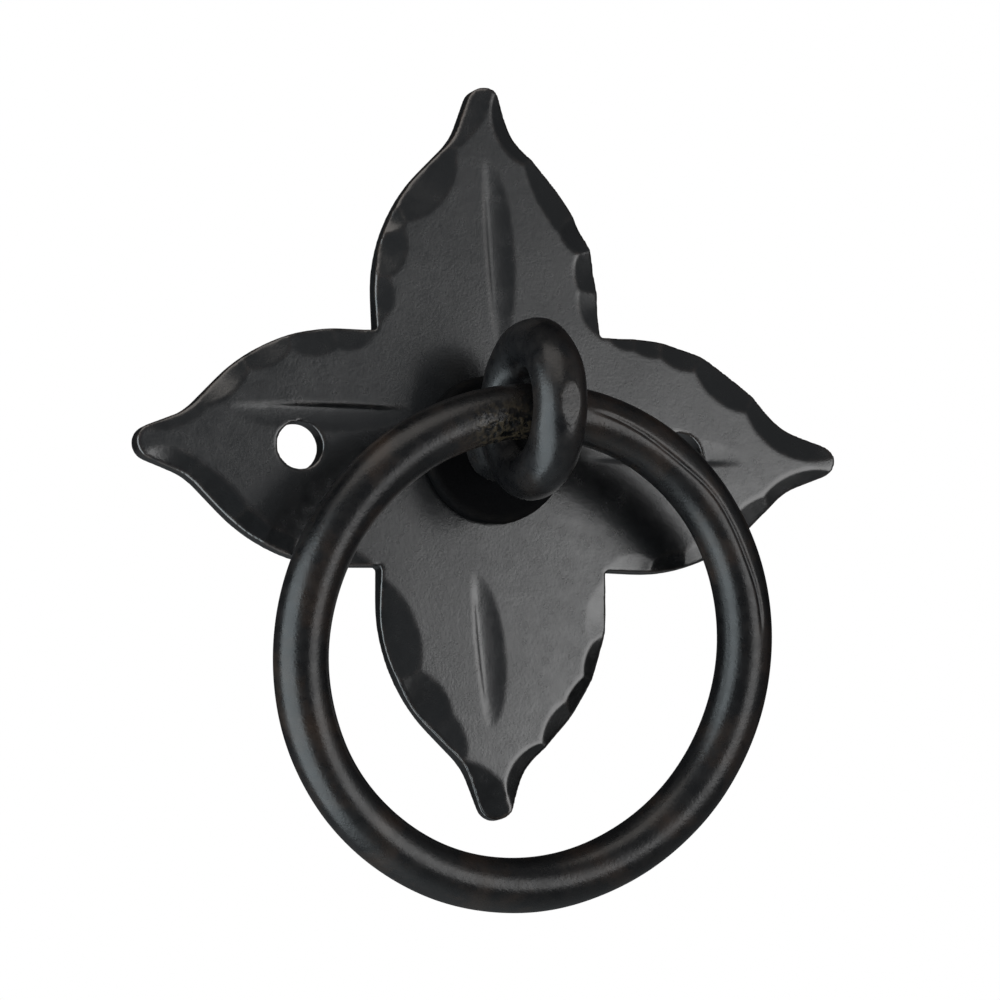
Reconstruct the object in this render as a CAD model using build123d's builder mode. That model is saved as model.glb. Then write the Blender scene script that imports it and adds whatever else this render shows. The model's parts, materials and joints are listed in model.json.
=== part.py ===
from build123d import *
from math import acos, asin, cos, degrees, radians, sin, sqrt, tan
import os

# Hand-forged ring knocker: a ring hangs in an eye riveted through a round boss
# and a four-leaf backplate, whose edges are thinned by hammer blows.
# Millimetres. The origin is the middle of the backplate's back face, which lies
# on the door: +X right, +Z up, and the knocker stands out along -Y.

# Backplate: four equal leaves cut from sheet
plate_t = 4.0            # sheet thickness
cut_lift = 0.5           # how far in front of the sheet the blows and the veins start, so that they cut cleanly
leaf_reach = 66.1        # plate centre to a leaf's tip
notch_reach = 21.2       # plate centre to a notch between leaves, along X and along Z
leaf_half = 21.7         # half of a leaf's width at its shoulders
tip_length = 9.4         # length of the drawn-out tip
tip_flare = 21.0         # angle of the tip's sides to the leaf's middle, degrees
tip_r = 3.2              # rounding of the very tip
tip_root_r = 12.0        # hollow where the slope runs into the tip
shoulder_r = 32.0        # rounding of the shoulders
screw_spacing = 72.0     # between the two screw holes
screw_hole_r = 4.2

# Hammer blows round the edge, clockwise round each leaf from notch to notch. Each leaves a facet that slopes
# down to the edge, with a round inner side: (place along the leaf's edge, reach in, radius of the round, slope).
top_blows = [(0.063, 3.3, 6.5, 10), (0.145, 4.8, 7, 14), (0.195, 2.8, 5.5, 25), (0.285, 6.3, 12, 12),
             (0.46, 3.8, 16, 12), (0.59, 3.4, 10, 30), (0.75, 5.4, 28, 24), (0.80, 4.9, 6.5, 30),
             (0.89, 4.6, 7, 26), (0.937, 4.4, 7, 20)]
left_blows = [(0.07, 3.2, 7, 14), (0.13, 3.6, 9, 14), (0.19, 3.5, 11, 14), (0.25, 3.7, 14, 15),
              (0.325, 4.3, 20, 14), (0.41, 3.6, 9, 14), (0.59, 2.2, 12.5, 10), (0.695, 3.6, 10.5, 18),
              (0.79, 3.9, 8.5, 14), (0.885, 4.9, 7.5, 9), (0.945, 4.0, 5.5, 9)]
bottom_blows = [(0.085, 3.9, 9, 8), (0.16, 3.0, 9, 28), (0.235, 3.1, 12, 34), (0.285, 3.6, 9.5, 28),
                (0.41, 3.2, 9, 30), (0.53, 5.8, 15, 16), (0.69, 4.6, 8.5, 10), (0.70, 2.3, 5, 22),
                (0.745, 6.2, 9.5, 14), (0.87, 6.3, 17, 12)]
right_blows = [(0.055, 2.2, 5.5, 26), (0.095, 3.2, 7, 26), (0.155, 4.1, 8.5, 27), (0.255, 5.8, 12.5, 24),
               (0.38, 4.8, 13.5, 26), (0.635, 2.8, 14, 28), (0.70, 4.1, 11.5, 26), (0.81, 3.4, 12, 20),
               (0.87, 3.2, 9, 16), (0.945, 3.2, 6, 8)]

# Veins: one groove along each leaf, struck with a leaning gouge, so one side is a wall and the other a long curve
vein_depth = 0.35
vein_wall = 25.0         # slope of the wall, degrees
vein_ramp_r = 28.0       # curve of the other side
# side that the wall is on (1 is the leaf's own right), wall's foot to that leaf's right, middle of the groove
# out from the centre, length, and turn in degrees
top_vein = (-1, 0.5, 36.0, 34.0, -3)
left_vein = (1, 6.9, 32.0, 34.0, 0)
bottom_vein = (1, 2.8, 36.0, 28.0, -5)
right_vein = (1, 1.0, 32.5, 31.0, 0)

# Boss: a forged washer under the eye
boss_r = 13.4
boss_t = 2.8
boss_rim_r = 1.2

# Eye: a closed loop of round rod on a stem that is peened over at the back
rod_r = 4.8
bar_play = 1.67          # gap round the ring's bar in the eye's hole
neck_gap = 1.3           # between the boss and the nearest point of the loop
eye_side = 0.6           # loop centre to the right of the stem
eye_rise = 4.6           # loop centre above the stem
eye_turn = 5.0           # turn of the loop about the vertical, degrees
neck_r = 6.2             # shoulder that bears on the boss
throat_r = 4.5           # where the neck runs into the loop
throat_bite = 1.0        # how far the neck runs into the rod
stem_r = 4.0
stem_gap = 0.1           # between the stem and its holes
tail_r = 5.8             # peened tail, flush with the back face
tail_depth = 1.8
flat_depth = 0.4         # small flat on the front of the loop
flat_droop = 3.5         # how far below the loop's front it lies, degrees

# Ring: a closed ring of round bar
ring_r = 42.2            # centre of the ring to the centre of its bar
bar_r = 5.0
ring_side = 1.5          # how far the ring has slid along in the eye
ring_drop = 0.35         # bar centre below the centre of the eye's hole
ring_turn = 2.45         # turn of the ring about the vertical, degrees
leaf_gap = 0.3           # between the bar and the bottom leaf, where the leaf reaches under it

# Values that follow
boss_front = plate_t + boss_t
loop_r = bar_r + bar_play + rod_r
loop_outer_r = loop_r + rod_r
eye_centre = Vector(eye_side, -(boss_front + neck_gap + loop_outer_r), eye_rise)
hinge = eye_centre + Vector(ring_side, 0, -ring_drop)


def leaf_corners():
    """Corners of one leaf that points up, from its left notch to its right one, before rounding."""
    apex = leaf_reach + tip_r / sin(radians(tip_flare)) - tip_r
    tip_root = leaf_reach - tip_length
    tip_root_half = (apex - tip_root) * tan(radians(tip_flare))
    shoulder = tip_root - (leaf_half - tip_root_half)
    left = [(-notch_reach, notch_reach), (-leaf_half, shoulder), (-tip_root_half, tip_root)]
    right = [(-x, y) for x, y in reversed(left)]
    return left + [(0, apex)] + right


def leaf_radii(corners):
    """Rounding at each inner corner; the shoulders' is limited by the length of the leaf's side."""
    side = corners[1][1] - corners[0][1]
    shoulder_limit = 0.95 * side / tan(radians(45) / 2)
    shoulder = min(shoulder_r, shoulder_limit)
    return [shoulder, tip_root_r, tip_r, tip_root_r, shoulder]


def edge_blows(edge, blows, turn):
    """Centre, radius and slope of the mark of each blow on a leaf that is turned from the top one."""
    marks = []
    for along, reach, mark_r, slope in blows:
        tangent = edge % along
        outward = Vector(-tangent.Y, tangent.X)
        centre = (edge @ along + outward * (mark_r - reach)).rotate(Axis.Z, turn)
        marks.append(((centre.X, centre.Y), mark_r, slope))
    return marks


def vein_chisel(wall_side, length):
    """The body that a vein of this length takes out of the sheet: a leaning gouge on a long curve."""
    bottom = vein_depth - plate_t
    top = -plate_t - cut_lift
    wall_run = (bottom - top) / tan(radians(vein_wall))
    opening = acos(1 - (bottom - top) / vein_ramp_r)
    ramp = [(-wall_side * vein_ramp_r * sin(a), bottom - vein_ramp_r * (1 - cos(a)))
            for a in (0, opening / 2, opening)]
    curve_r = (length**2 / 4 + vein_depth**2) / (2 * vein_depth)
    with BuildPart() as chisel:
        with BuildSketch(Plane.XY):
            with BuildLine():
                ThreePointArc(*ramp)
                Polyline(ramp[0], (wall_side * wall_run, top), ramp[2])
            make_face()
        revolve(axis=Axis((0, bottom - curve_r, 0), (1, 0, 0)))
    return chisel.part


def lean_onto(rest_y):
    """Lean of the ring when its bar meets a plane, which it does a little to one side as it is turned."""
    span = (rest_y - hinge.Y - bar_r) / ring_r
    turned = radians(ring_turn)
    return asin((span**2 - sin(turned)**2) / (2 * span * cos(turned)))


# One leaf's outline, pointing up
corners = leaf_corners()
with BuildSketch() as leaf:
    with BuildLine():
        leaf_edge = FilletPolyline(*corners, radius=leaf_radii(corners))
        Polyline(leaf_edge @ 1, (0, 0), leaf_edge @ 0)
    make_face()

turns = (0, 90, 180, 270)    # top, left, bottom and right leaf
veins = []
for turn, (wall_side, foot, out, length, lean) in zip(turns, (top_vein, left_vein, bottom_vein, right_vein)):
    struck = vein_chisel(wall_side, length).moved(Location((foot, 0, out), (0, lean, 0)))
    veins.append(struck.rotate(Axis.Y, -turn))

with BuildPart() as backplate:
    with BuildSketch(Plane.XZ):
        with PolarLocations(0, 4):
            add(leaf.sketch)
        with Locations((-screw_spacing / 2, 0), (screw_spacing / 2, 0)):
            Circle(screw_hole_r, mode=Mode.SUBTRACT)
        Circle(stem_r + stem_gap, mode=Mode.SUBTRACT)
    extrude(amount=plate_t)
    # countersink for the peened tail
    with BuildSketch(Plane.YZ):
        Polygon((0, 0), (0, tail_r), (-tail_depth, stem_r), (-tail_depth, 0), align=None)
    revolve(axis=Axis.Y, mode=Mode.SUBTRACT)
    add(veins, mode=Mode.SUBTRACT)
    # hammered edges
    sheet_front = Plane.XZ.offset(plate_t + cut_lift)
    for turn, blows in zip(turns, (top_blows, left_blows, bottom_blows, right_blows)):
        for (x, z), mark_r, slope in edge_blows(leaf_edge, blows, turn):
            fall = tan(radians(slope))
            wide_r = mark_r + cut_lift / fall
            with Locations(sheet_front.from_local_coords((x, z, 0))):
                Cone(wide_r, 0, wide_r * fall, rotation=(-90, 0, 0),
                     align=(Align.CENTER, Align.CENTER, Align.MIN), mode=Mode.SUBTRACT)

with BuildPart() as boss:
    with BuildSketch(Plane.XZ.offset(plate_t)):
        Circle(boss_r)
        Circle(stem_r + stem_gap, mode=Mode.SUBTRACT)
    extrude(amount=boss_t)
    rim = boss.faces().sort_by(Axis.Y)[0].outer_wire().edges()
    fillet(rim, boss_rim_r)

# Depth at which the loop's outside passes the lowest point of the neck
neck_depth = loop_outer_r + neck_gap + throat_bite - sqrt(loop_outer_r**2 - (eye_rise + throat_r)**2)
turn_sin = sin(radians(eye_turn))
turn_cos = cos(radians(eye_turn))
loop_plane = Plane(origin=eye_centre, x_dir=(0, 0, 1), z_dir=(turn_cos, turn_sin, 0))
with BuildPart(loop_plane) as eye:
    Torus(loop_r, rod_r)
    with BuildSketch(Plane.YZ):
        Polygon((0, 0), (0, tail_r), (-tail_depth, stem_r), (-boss_front, stem_r), (-boss_front, neck_r),
                (-boss_front - neck_depth, throat_r), (-boss_front - neck_depth, 0), align=None)
    revolve(axis=Axis.Y)
    droop = radians(flat_droop)
    flat_way = Vector(turn_sin * cos(droop), -turn_cos * cos(droop), -sin(droop))
    split(bisect_by=Plane(eye_centre + flat_way * (loop_outer_r - flat_depth), z_dir=flat_way), keep=Keep.BOTTOM)

# The ring leans back onto the door, or onto the bottom leaf if that reaches under it
ring_lean = lean_onto(0)
if hinge.Z - 2 * ring_r * cos(ring_lean) + bar_r + leaf_gap > -leaf_reach:
    ring_lean = lean_onto(-plate_t - leaf_gap)
ring_across = Vector(cos(radians(ring_turn)), sin(radians(ring_turn)), 0)
ring_down = Vector(-sin(radians(ring_turn)) * sin(ring_lean), cos(radians(ring_turn)) * sin(ring_lean),
                   -cos(ring_lean))
ring_centre = hinge + ring_down * ring_r
with BuildPart(Plane(origin=ring_centre, x_dir=ring_across, z_dir=ring_across.cross(ring_down))) as ring:
    Torus(ring_r, bar_r)

os.makedirs("parts", exist_ok=True)
for name, piece in (("backplate", backplate), ("boss", boss), ("eye", eye), ("ring", ring)):
    piece.part.label = name
    export_step(piece.part, f"parts/{name}.step")
print("hinge", hinge, "ring leans", degrees(ring_lean), "degrees")
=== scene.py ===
import json
import math
import bmesh
import bpy
from mathutils import Matrix, Vector, noise
from mathutils.bvhtree import BVHTree


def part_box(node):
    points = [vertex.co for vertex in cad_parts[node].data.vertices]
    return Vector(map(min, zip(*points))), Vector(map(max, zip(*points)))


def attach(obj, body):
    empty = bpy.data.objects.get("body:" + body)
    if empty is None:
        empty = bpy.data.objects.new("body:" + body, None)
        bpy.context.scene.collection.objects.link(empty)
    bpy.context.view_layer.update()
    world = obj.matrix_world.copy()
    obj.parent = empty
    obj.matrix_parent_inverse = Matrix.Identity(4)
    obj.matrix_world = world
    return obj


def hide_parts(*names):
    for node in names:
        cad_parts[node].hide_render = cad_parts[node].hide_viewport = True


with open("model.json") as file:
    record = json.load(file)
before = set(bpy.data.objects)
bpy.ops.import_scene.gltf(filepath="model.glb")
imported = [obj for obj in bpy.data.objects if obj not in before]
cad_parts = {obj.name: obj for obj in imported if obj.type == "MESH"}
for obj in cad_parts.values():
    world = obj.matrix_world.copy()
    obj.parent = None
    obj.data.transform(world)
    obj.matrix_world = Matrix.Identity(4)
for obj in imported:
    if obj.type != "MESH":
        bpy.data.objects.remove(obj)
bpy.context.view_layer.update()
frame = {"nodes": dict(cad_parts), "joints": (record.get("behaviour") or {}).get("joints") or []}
scene = bpy.context.scene

# ------------------------------------------------------------------------------------------------
# Backplate: four leaves cut from 4 mm mild steel sheet. The smith draws the edges thin with a
# crowned hammer, strikes one vein into each leaf with a curved chisel, then blacks and waxes it.
# ------------------------------------------------------------------------------------------------
mm = 0.001


def even_skin(rough, name, voxel):
    """One closed skin of even, fine faces over a rough shape's shells, as a new bmesh."""
    mesh = bpy.data.meshes.new(name)
    rough.to_mesh(mesh)
    true_surface = BVHTree.FromBMesh(rough)
    rough.free()
    shape = bpy.data.objects.new(name, mesh)
    scene.collection.objects.link(shape)
    skin = shape.modifiers.new("even skin", "REMESH")
    skin.mode = "VOXEL"
    skin.voxel_size = voxel
    even = bpy.data.meshes.new_from_object(shape.evaluated_get(bpy.context.evaluated_depsgraph_get()))
    bpy.data.objects.remove(shape)
    forged = bmesh.new()
    forged.from_mesh(even)
    bpy.data.meshes.remove(even)
    for v in forged.verts:
        nearest = true_surface.find_nearest(v.co, voxel)[0]
        if nearest:
            v.co = nearest
    return forged


def soften(forged, passes):
    """Rounds the crisp edges that cutting leaves, as scaling and waxing do."""
    for _ in range(passes):
        bmesh.ops.smooth_vert(forged, verts=forged.verts, factor=0.5,
                              use_axis_x=True, use_axis_y=True, use_axis_z=True)


def hammer_waves(forged, size, height, seed=0.0):
    """Shallow unevenness that planishing leaves, no higher than the metal that was there."""
    forged.normal_update()
    for v in forged.verts:
        wave = noise.noise(v.co / size + Vector((seed, 2 * seed, 3 * seed)))
        v.co += v.normal * height * (wave - 0.5)


def held(value, low=0.0, high=1.0):
    """The value, kept between two limits."""
    return min(high, max(low, value))


def mark_rubbed_edges(forged):
    """Writes how proud of its surroundings each point stands, where hands and rags rub the black off."""
    rubbed = forged.verts.layers.float.new("rubbed")
    sharpness = 5.0
    forged.normal_update()
    for v in forged.verts:
        reach = sum((e.other_vert(v).co - v.co).length for e in v.link_edges)
        drop = sum((v.co - e.other_vert(v).co).dot(v.normal) for e in v.link_edges)
        v[rubbed] = held(drop / reach * sharpness)


def mark_painted_facet_shade(forged, flat_up_to, slope_from):
    """Writes where the front slopes away from the sheet's flat, which only the hammer does; the sheet's
    material paints these sloping facets darker as painted shade.
    """
    painted_facet_shade = forged.verts.layers.float.new("painted_facet_shade")
    forged.normal_update()
    for v in forged.verts:
        slope = 1.0 + v.normal.y
        on_front = slope < 1.0
        v[painted_facet_shade] = held((slope - flat_up_to) / (slope_from - flat_up_to)) if on_front else 0.0


def finished_piece(name, forged, material, replaced_node):
    """Turns a forged bmesh into a piece in place of its CAD node."""
    mesh = bpy.data.meshes.new(name)
    forged.to_mesh(mesh)
    forged.free()
    for face in mesh.polygons:
        face.use_smooth = True
    mesh.materials.append(material)
    piece = bpy.data.objects.new(name, mesh)
    scene.collection.objects.link(piece)
    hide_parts(replaced_node)
    return piece


def node_group(name, inputs, outputs):
    """An empty shader group with its named sockets; inputs are (name, type, value)."""
    group = bpy.data.node_groups.new(name, "ShaderNodeTree")
    for label, kind, value in inputs:
        socket = group.interface.new_socket(label, in_out="INPUT", socket_type=kind)
        socket.default_value = value
    for label, kind in outputs:
        group.interface.new_socket(label, in_out="OUTPUT", socket_type=kind)
    return group, group.nodes.new("NodeGroupInput"), group.nodes.new("NodeGroupOutput")


def noise_node(tree, links_from, scale, detail, roughness=0.5):
    """Solid noise on the piece's own coordinates."""
    texture = tree.nodes.new("ShaderNodeTexNoise")
    texture.inputs["Detail"].default_value = detail
    texture.inputs["Roughness"].default_value = roughness
    texture.inputs["Scale"].default_value = scale
    tree.links.new(links_from, texture.inputs["Vector"])
    return texture


def spread(tree, value, low, high, to_low=0.0, to_high=1.0):
    """Maps a value's useful range onto another, clamped."""
    node = tree.nodes.new("ShaderNodeMapRange")
    node.inputs["From Min"].default_value = low
    node.inputs["From Max"].default_value = high
    node.inputs["To Min"].default_value = to_low
    node.inputs["To Max"].default_value = to_high
    tree.links.new(value, node.inputs["Value"])
    return node.outputs["Result"]


def mixed(tree, factor, a, b):
    """Mixes two colours, each a socket or a plain colour."""
    node = tree.nodes.new("ShaderNodeMix")
    node.data_type = "RGBA"
    colour_a, colour_b = [socket for socket in node.inputs if socket.type == "RGBA"]
    tree.links.new(factor, node.inputs["Factor"])
    for socket, colour in ((colour_a, a), (colour_b, b)):
        if isinstance(colour, tuple):
            socket.default_value = (*colour, 1.0)
        else:
            tree.links.new(colour, socket)
    return next(socket for socket in node.outputs if socket.type == "RGBA")


def worked_out(tree, operation, a, b):
    """Result of sum, difference or product of two values, the second a socket or a number."""
    node = tree.nodes.new("ShaderNodeMath")
    node.operation = operation
    tree.links.new(a, node.inputs[0])
    if isinstance(b, float):
        node.inputs[1].default_value = b
    else:
        tree.links.new(b, node.inputs[1])
    return node.outputs[0]


def surface_mark(tree, mesh_attribute):
    """What the mesh says about each point of its surface, from 0 to 1."""
    mark = tree.nodes.new("ShaderNodeAttribute")
    mark.attribute_name = mesh_attribute
    return mark.outputs["Fac"]


def bump(tree, height, distance):
    """A Bump node at full strength over a height."""
    node = tree.nodes.new("ShaderNodeBump")
    node.inputs["Distance"].default_value = distance
    node.inputs["Strength"].default_value = 1.0
    tree.links.new(height, node.inputs["Height"])
    return node


def scale_grain_group():
    """Fine grain of blacked hot-rolled scale, with pits and slow clouds of tone."""
    group, given, made = node_group(
        "blacked scale",
        [("Coordinates", "NodeSocketVector", (0, 0, 0)), ("Grain", "NodeSocketFloat", 2200.0),
         ("Pitting", "NodeSocketFloat", 0.5)],
        [("Height", "NodeSocketFloat"), ("Tone", "NodeSocketFloat"), ("Cloud", "NodeSocketFloat")])
    where = given.outputs["Coordinates"]
    fine = noise_node(group, where, 2200.0, 3.0, 0.6)
    group.links.new(given.outputs["Grain"], fine.inputs["Scale"])
    mottled = noise_node(group, where, 420.0, 4.0, 0.6)
    cloud = noise_node(group, where, 45.0, 3.0)
    pit = noise_node(group, where, 700.0, 2.0, 0.7)
    pits = spread(group, pit.outputs["Fac"], 0.66, 0.76)
    pitted = worked_out(group, "MULTIPLY", pits, given.outputs["Pitting"])
    rise = worked_out(group, "ADD", spread(group, fine.outputs["Fac"], 0.3, 0.7), mottled.outputs["Fac"])
    group.links.new(worked_out(group, "SUBTRACT", rise, pitted), made.inputs["Height"])
    group.links.new(spread(group, mottled.outputs["Fac"], 0.35, 0.65), made.inputs["Tone"])
    group.links.new(spread(group, cloud.outputs["Fac"], 0.35, 0.65), made.inputs["Cloud"])
    return group


blacked_scale = scale_grain_group()


def blacked_iron(name, dark, light, rubbed, rough_low, rough_high, grain, grain_height, pitting, rub_share,
                 specular, painted_facet_shade_depth=0.0, rust=None, scars=None):
    """Blacked and waxed iron: two close blacks in clouds, with a browner metal where it is rubbed.

    rust is a colour. scars is (size of the pitted lumps, their height, their colour), and shows where
    the mesh is marked scarred.
    """
    material = bpy.data.materials.new(name)
    material.use_nodes = True
    tree = material.node_tree
    shader = tree.nodes["Principled BSDF"]
    shader.inputs["Specular IOR Level"].default_value = specular
    place = tree.nodes.new("ShaderNodeTexCoord").outputs["Object"]
    scale = tree.nodes.new("ShaderNodeGroup")
    scale.node_tree = blacked_scale
    scale.inputs["Grain"].default_value = grain
    scale.inputs["Pitting"].default_value = pitting
    tree.links.new(place, scale.inputs["Coordinates"])

    colour = mixed(tree, scale.outputs["Cloud"], dark, light)
    # Painted shade: the sloping facets get a darker base colour, by their slope alone.
    if painted_facet_shade_depth:
        facet_shade_mix = worked_out(tree, "MULTIPLY", surface_mark(tree, "painted_facet_shade"), painted_facet_shade_depth)
        colour = mixed(tree, facet_shade_mix, colour, (0.002, 0.002, 0.002))
    if rust:
        stain = noise_node(tree, place, 95.0, 5.0, 0.65)
        colour = mixed(tree, spread(tree, stain.outputs["Fac"], 0.50, 0.78), colour, rust)
    patchy = worked_out(tree, "MULTIPLY", surface_mark(tree, "rubbed"), scale.outputs["Tone"])
    colour = mixed(tree, worked_out(tree, "MULTIPLY", patchy, rub_share), colour, rubbed)
    relief = bump(tree, scale.outputs["Height"], grain_height)
    if scars:
        lump_size, lump_height, scar_colour = scars
        scarred = surface_mark(tree, "scarred")
        lumps = noise_node(tree, place, 1.0 / lump_size, 2.0).outputs["Fac"]
        rough_patch = bump(tree, worked_out(tree, "MULTIPLY", lumps, scarred), lump_height)
        tree.links.new(relief.outputs["Normal"], rough_patch.inputs["Normal"])
        relief = rough_patch
        bare = worked_out(tree, "MULTIPLY", scarred, spread(tree, lumps, 0.45, 0.65))
        colour = mixed(tree, bare, colour, scar_colour)
    tree.links.new(colour, shader.inputs["Base Color"])
    gloss = spread(tree, scale.outputs["Tone"], 0.0, 1.0, rough_low, rough_high)
    tree.links.new(gloss, shader.inputs["Roughness"])
    tree.links.new(relief.outputs["Normal"], shader.inputs["Normal"])
    return material


plate_black = blacked_iron("blacked sheet", dark=(0.003, 0.0032, 0.0036), light=(0.0055, 0.0057, 0.006),
                           rubbed=(0.06, 0.042, 0.034), rough_low=0.21, rough_high=0.28,
                           grain=2400.0, grain_height=0.008 * mm, pitting=0.3, rub_share=0.6,
                           specular=0.75, painted_facet_shade_depth=0.6)

sheet = bmesh.new()
sheet.from_mesh(frame["nodes"]["backplate"].data)
bmesh.ops.remove_doubles(sheet, verts=sheet.verts, dist=0.001 * mm)
plate = even_skin(sheet, "plate shape", voxel=0.42 * mm)
soften(plate, 1)
# Marks the sloping facets, which the sheet's material paints darker as painted shade.
mark_painted_facet_shade(plate, flat_up_to=0.02, slope_from=0.08)
hammer_waves(plate, size=14 * mm, height=0.05 * mm)
mark_rubbed_edges(plate)
backplate = finished_piece("forged_backplate", plate, plate_black, "backplate")
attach(backplate, "mount")

# ------------------------------------------------------------------------------------------------
# Boss: a round washer forged from the same bar as the eye, clamped between the eye's shoulder and
# the plate. Its rim is rounded over with the hammer. Its near-black colour, darker than the plate, is painted
# shade for the shadow of the eye and ring.
# ------------------------------------------------------------------------------------------------
boss_low, boss_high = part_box("boss")
boss_r = (boss_high.x - boss_low.x) / 2
boss_t = boss_high.y - boss_low.y
boss_hole_r = 4.1 * mm
rim_round = 1.3 * mm

washer = bmesh.new()
bmesh.ops.create_circle(washer, cap_ends=False, segments=96, radius=boss_hole_r)
face_ring = bmesh.ops.extrude_edge_only(washer, edges=washer.edges)["geom"]
outer = [v for v in face_ring if isinstance(v, bmesh.types.BMVert)]
bmesh.ops.scale(washer, verts=outer, vec=(boss_r / boss_hole_r,) * 3)
bmesh.ops.solidify(washer, geom=washer.faces, thickness=boss_t)
bmesh.ops.transform(washer, matrix=Matrix.Rotation(math.radians(90), 4, "X"), verts=washer.verts)
lift = boss_low.y - min(v.co.y for v in washer.verts)
bmesh.ops.translate(washer, verts=washer.verts, vec=(0, lift, 0))
bmesh.ops.recalc_face_normals(washer, faces=washer.faces)
rim = [e for e in washer.edges
       if all(v.co.y < boss_low.y + 0.1 * mm and v.co.xz.length > boss_r - 0.1 * mm for v in e.verts)]
bmesh.ops.bevel(washer, geom=rim, offset=rim_round, offset_type="OFFSET", segments=6, profile=0.5,
                affect="EDGES", material=-1)
disc = even_skin(washer, "boss shape", voxel=0.4 * mm)
soften(disc, 3)
hammer_waves(disc, size=5 * mm, height=0.15 * mm, seed=3.0)
mark_rubbed_edges(disc)
# Painted shade: a near-black base colour, darker than the plate's, for the shadow the eye and ring cast on
# the boss.
boss_painted_shade_black = blacked_iron("boss black with painted shade", dark=(0.001, 0.001, 0.0012), light=(0.002, 0.002, 0.0024),
                          rubbed=(0.03, 0.025, 0.02), rough_low=0.7, rough_high=0.8,
                          grain=1800.0, grain_height=0.02 * mm, pitting=0.6, rub_share=0.3, specular=0.05)
boss = finished_piece("forged_boss", disc, boss_painted_shade_black, "boss")
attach(boss, "mount")

# ------------------------------------------------------------------------------------------------
# Eye: a closed loop bent from 10 mm rod and welded to its own stem. The stem goes through boss and
# plate and is peened over in a countersink, which left a small rough flat where the loop sat on the anvil.
# ------------------------------------------------------------------------------------------------
rod_r = 4.8 * mm
loop_r = 11.47 * mm
loop_turn = math.radians(5.0)
loop_centre = Vector((0.6, -24.37, 4.6)) * mm
stem_r = 4.0 * mm
neck_r = 6.2 * mm
throat_r = 4.6 * mm
throat_y = -11.6 * mm
tail_r = 5.8 * mm
tail_depth = 1.8 * mm
flat_droop = math.radians(3.5)
flat_depth = 0.42 * mm

loop_front = Vector((math.sin(loop_turn), -math.cos(loop_turn), 0))
rod = bmesh.new()
bmesh.ops.create_circle(rod, cap_ends=False, segments=64, radius=rod_r,
                        matrix=Matrix.Translation((0, -loop_r, 0)))
bmesh.ops.spin(rod, geom=rod.verts[:] + rod.edges[:], cent=(0, 0, 0), axis=(1, 0, 0),
               angle=2 * math.pi, steps=192, use_merge=True)
bmesh.ops.rotate(rod, verts=rod.verts, cent=(0, 0, 0), matrix=Matrix.Rotation(loop_turn, 3, "Z"))
bmesh.ops.translate(rod, verts=rod.verts, vec=loop_centre)
flat_way = loop_front * math.cos(flat_droop) + Vector((0, 0, -math.sin(flat_droop)))
flat_reach = loop_r + rod_r - flat_depth
bmesh.ops.bisect_plane(rod, geom=rod.verts[:] + rod.edges[:] + rod.faces[:], clear_outer=True,
                       plane_co=loop_centre + flat_way * flat_reach, plane_no=flat_way)
bmesh.ops.holes_fill(rod, edges=[e for e in rod.edges if e.is_boundary])


def turned_section(target, y_back, r_back, y_front, r_front):
    """A solid of revolution about the stem's axis, between two depths."""
    bmesh.ops.create_cone(target, cap_ends=True, segments=64, radius1=r_back, radius2=r_front,
                          depth=y_back - y_front,
                          matrix=Matrix.Translation((0, (y_back + y_front) / 2, 0))
                          @ Matrix.Rotation(math.radians(90), 4, "X"))


overlap = 0.3 * mm
turned_section(rod, 0.0, tail_r, -tail_depth, stem_r)
turned_section(rod, -tail_depth + overlap, stem_r, boss_low.y - overlap, stem_r)
turned_section(rod, boss_low.y, neck_r, throat_y, throat_r)
bmesh.ops.recalc_face_normals(rod, faces=rod.faces)
loop = even_skin(rod, "eye shape", voxel=0.3 * mm)
soften(loop, 2)
hammer_waves(loop, size=7 * mm, height=0.22 * mm, seed=7.0)
mark_rubbed_edges(loop)
flat_scarring = 0.6
scarred_flat = loop.verts.layers.float.new("scarred")
for v in loop.verts:
    near_flat = (v.co - loop_centre).dot(flat_way) - flat_reach > -0.35 * mm
    faces_flat_way = v.normal.dot(flat_way) > 0.97
    v[scarred_flat] = flat_scarring if near_flat and faces_flat_way else 0.0
eye_black = blacked_iron("waxed forging", dark=(0.003, 0.003, 0.0035), light=(0.006, 0.006, 0.0065),
                         rubbed=(0.10, 0.085, 0.075), rough_low=0.24, rough_high=0.34,
                         grain=1700.0, grain_height=0.018 * mm, pitting=0.8, rub_share=0.5, specular=0.33,
                         rust=(0.016, 0.012, 0.010), scars=(0.7 * mm, 0.10 * mm, (0.03, 0.027, 0.025)))
eye = finished_piece("forged_eye", loop, eye_black, "eye")
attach(eye, "mount")

# ------------------------------------------------------------------------------------------------
# Ring: 10 mm round bar bent through the eye and fire-welded shut. The weld beside the eye stays rough
# and a lap was left along the upper right; the rest is planished round, blacked, waxed and rubbed brown.
# ------------------------------------------------------------------------------------------------
bar_r = 5.0 * mm
ring_r = 42.2 * mm
ring_hinge = Vector(frame["joints"][0]["pos_m"])
ring_across = -Vector(frame["joints"][0]["axis"])
ring_lean = math.radians(13.16)
weld_angle = math.radians(-12.0)     # along the ring from its top, towards the left
weld_reach = math.radians(7.0)
weld_lumps = 0.20 * mm
lap_side = math.radians(12.0)        # round the bar, outwards from its front
lap_start = math.radians(10.0)       # along the ring from its top, towards the right
lap_end = math.radians(85.0)
lap_fade = math.radians(6.0)
lap_width = 0.38 * mm
lap_depth = 0.30 * mm
planish_waves = 0.12 * mm

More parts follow.
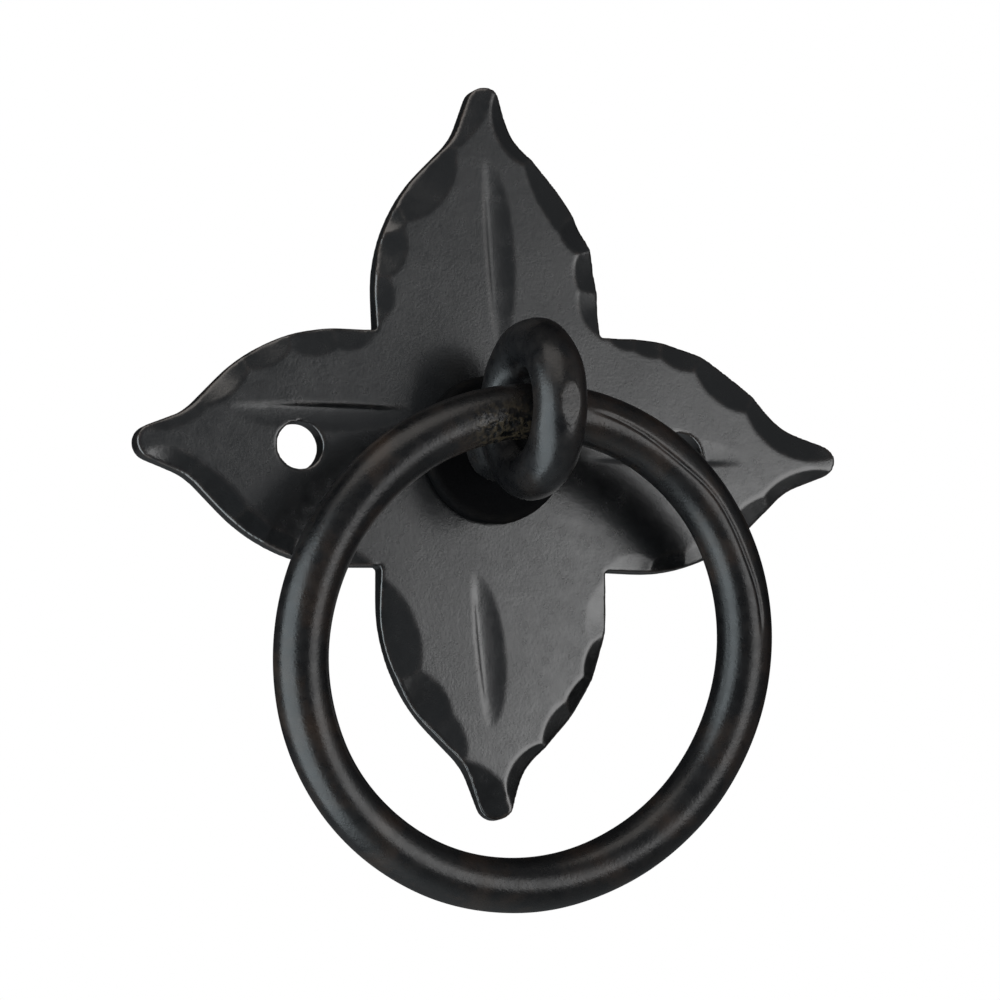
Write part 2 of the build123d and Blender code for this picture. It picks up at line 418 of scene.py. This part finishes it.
into_door = Vector((-ring_across.y, ring_across.x, 0))
ring_down = into_door * math.sin(ring_lean) + Vector((0, 0, -math.cos(ring_lean)))
bar = bmesh.new()
bmesh.ops.create_circle(bar, cap_ends=False, segments=120, radius=bar_r,
                        matrix=Matrix.Translation((0, 0, ring_r)) @ Matrix.Rotation(math.radians(90), 4, "Y"))
bmesh.ops.spin(bar, geom=bar.verts[:] + bar.edges[:], cent=(0, 0, 0), axis=(0, 1, 0),
               angle=2 * math.pi, steps=480, use_merge=True)
bmesh.ops.recalc_face_normals(bar, faces=bar.faces)
bar.normal_update()
scarred_weld = bar.verts.layers.float.new("scarred")
for v in bar.verts:
    along = math.atan2(v.co.x, v.co.z)
    outwards = v.normal.x * math.sin(along) + v.normal.z * math.cos(along)
    round_bar = math.atan2(outwards, -v.normal.y)
    weld = math.exp(-((along - weld_angle) / weld_reach) ** 2) * held(0.75 - outwards)
    v[scarred_weld] = held(1.3 * weld)
    lap_wander = 0.2 * noise.noise(Vector((along * 2.5, 0.0, 0.0)))
    beside_lap = (round_bar - lap_side - lap_wander) * bar_r / lap_width
    lap = held(min(along - lap_start, lap_end - along) / lap_fade) * math.exp(-beside_lap ** 2)
    wave = noise.noise(v.co / (16 * mm)) - 0.6
    lump = noise.noise(v.co / (2.2 * mm)) + 0.5 * noise.noise(v.co / (0.9 * mm)) - 0.8
    v.co += v.normal * (planish_waves * wave + weld_lumps * weld * lump - lap_depth * lap)
mark_rubbed_edges(bar)
ring_axes = Matrix((ring_across, into_door * math.cos(ring_lean) + Vector((0, 0, math.sin(ring_lean))),
                    -ring_down)).transposed().to_4x4()
bmesh.ops.transform(bar, verts=bar.verts,
                    matrix=Matrix.Translation(ring_hinge + ring_down * ring_r) @ ring_axes)
ring_black = blacked_iron("waxed bar", dark=(0.003, 0.003, 0.0033), light=(0.006, 0.006, 0.0063),
                          rubbed=(0.10, 0.07, 0.055), rough_low=0.24, rough_high=0.34,
                          grain=1700.0, grain_height=0.018 * mm, pitting=0.8, rub_share=0.5, specular=0.33,
                          rust=(0.022, 0.014, 0.010), scars=(0.9 * mm, 0.25 * mm, (0.05, 0.038, 0.024)))
ring = finished_piece("forged_ring", bar, ring_black, "ring")
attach(ring, "ring")

# ------------------------------------------------------------------------------------------------
# Floor and background: a pale studio floor well below the piece, which looks evenly lit from every
# side, and a surround that looks white but gives the piece only a dim light from the front.
# ------------------------------------------------------------------------------------------------
floor_z = -1.0
ground = bmesh.new()
bmesh.ops.create_circle(ground, cap_ends=True, segments=64, radius=6.0,
                        matrix=Matrix.Translation((0, 0, floor_z)))
floor_mesh = bpy.data.meshes.new("floor")
ground.to_mesh(floor_mesh)
ground.free()
floor_paint = bpy.data.materials.new("pale floor")
floor_paint.use_nodes = True
paint = floor_paint.node_tree
floor_colour = (0.85, 0.85, 0.85, 1)
matt = paint.nodes["Principled BSDF"]
matt.inputs["Base Color"].default_value = floor_colour
matt.inputs["Roughness"].default_value = 0.9
pale = paint.nodes.new("ShaderNodeEmission")
pale.inputs["Color"].default_value = floor_colour


def shown_differently(tree, lights, looks, output):
    """One shader for what lights the piece, and another for what is seen directly."""
    seen = tree.nodes.new("ShaderNodeLightPath")
    pick = tree.nodes.new("ShaderNodeMixShader")
    tree.links.new(seen.outputs["Is Camera Ray"], pick.inputs[0])
    tree.links.new(lights.outputs[0], pick.inputs[1])
    tree.links.new(looks.outputs[0], pick.inputs[2])
    tree.links.new(pick.outputs[0], tree.nodes[output].inputs["Surface"])


shown_differently(paint, lights=matt, looks=pale, output="Material Output")
floor_mesh.materials.append(floor_paint)
floor = bpy.data.objects.new("floor", floor_mesh)
scene.collection.objects.link(floor)

surround = bpy.data.worlds.new("studio")
surround.use_nodes = True
scene.world = surround
sky = surround.node_tree
backdrop = sky.nodes["Background"]
backdrop.inputs["Color"].default_value = (1, 1, 1, 1)
backdrop.inputs["Strength"].default_value = 1.0
dim = sky.nodes.new("ShaderNodeBackground")
dim.inputs["Color"].default_value = (0.9, 0.95, 1.0, 1)
way = sky.nodes.new("ShaderNodeTexCoord")
depth = sky.nodes.new("ShaderNodeSeparateXYZ")
sky.links.new(way.outputs["Generated"], depth.inputs[0])
front_strength, back_strength = 0.22, 0.02
strength = spread(sky, depth.outputs["Y"], -0.3, 0.2, front_strength, back_strength)
sky.links.new(strength, dim.inputs["Strength"])
shown_differently(sky, lights=dim, looks=backdrop, output="World Output")

# ------------------------------------------------------------------------------------------------
# Lights: a soft box to the front right with a brighter core, a tall cool one on the left, and a
# small warm bounce from above on the left. The metal shows them as its highlights.
# ------------------------------------------------------------------------------------------------


def direction(azimuth, elevation):
    """Unit vector from the piece, azimuth 0 straight out of the door and positive to the right."""
    a, e = math.radians(azimuth), math.radians(elevation)
    return Vector((math.sin(a) * math.cos(e), -math.cos(a) * math.cos(e), math.sin(e)))


def soft_box(name, azimuth, elevation, distance, width, height, radiance, colour):
    """A rectangular soft light that faces the piece, set by how bright its face looks."""
    light = bpy.data.lights.new(name, "AREA")
    light.shape = "RECTANGLE"
    light.size = width
    light.size_y = height
    light.energy = radiance * math.pi * width * height
    light.color = colour
    lamp = bpy.data.objects.new(name, light)
    lamp.location = direction(azimuth, elevation) * distance
    lamp.rotation_mode = "QUATERNION"
    lamp.rotation_quaternion = direction(azimuth, elevation).to_track_quat("Z", "Y")
    scene.collection.objects.link(lamp)


soft_box("wide key", 40, -4, 0.65, 0.50, 0.54, 0.75, (1.0, 1.0, 1.0))
soft_box("key core", 34, -10, 0.60, 0.34, 0.40, 3.0, (1.0, 1.0, 1.0))
soft_box("cool fill", -78, -22, 0.7, 0.80, 1.30, 4.4, (0.84, 0.95, 1.0))
soft_box("ceiling bounce", -38, 52, 0.7, 0.70, 0.45, 1.8, (1.0, 0.94, 0.88))

# ------------------------------------------------------------------------------------------------
# Camera: a long lens a little to the left of the piece and a little below it.
# ------------------------------------------------------------------------------------------------
target = Vector((2.75, 0, -8.31)) * mm
camera_distance = 1.3
frame_width = 0.1792         # what the picture spans at that distance
camera_roll = math.radians(-1.13)
away = direction(-19.61, -7.59)
right = (-away).cross(Vector((0, 0, 1))).normalized()
up = right.cross(-away)
camera = bpy.data.cameras.new("camera")
camera.sensor_width = 36
camera.lens = camera.sensor_width * camera_distance / frame_width
camera_object = bpy.data.objects.new("camera", camera)
rolled_right = right * math.cos(camera_roll) + up * math.sin(camera_roll)
rolled_up = -right * math.sin(camera_roll) + up * math.cos(camera_roll)
camera_object.matrix_world = (Matrix.Translation(target + away * camera_distance)
                              @ Matrix((rolled_right, rolled_up, away)).transposed().to_4x4())
scene.collection.objects.link(camera_object)
scene.camera = camera_object
scene.view_settings.view_transform = "Standard"
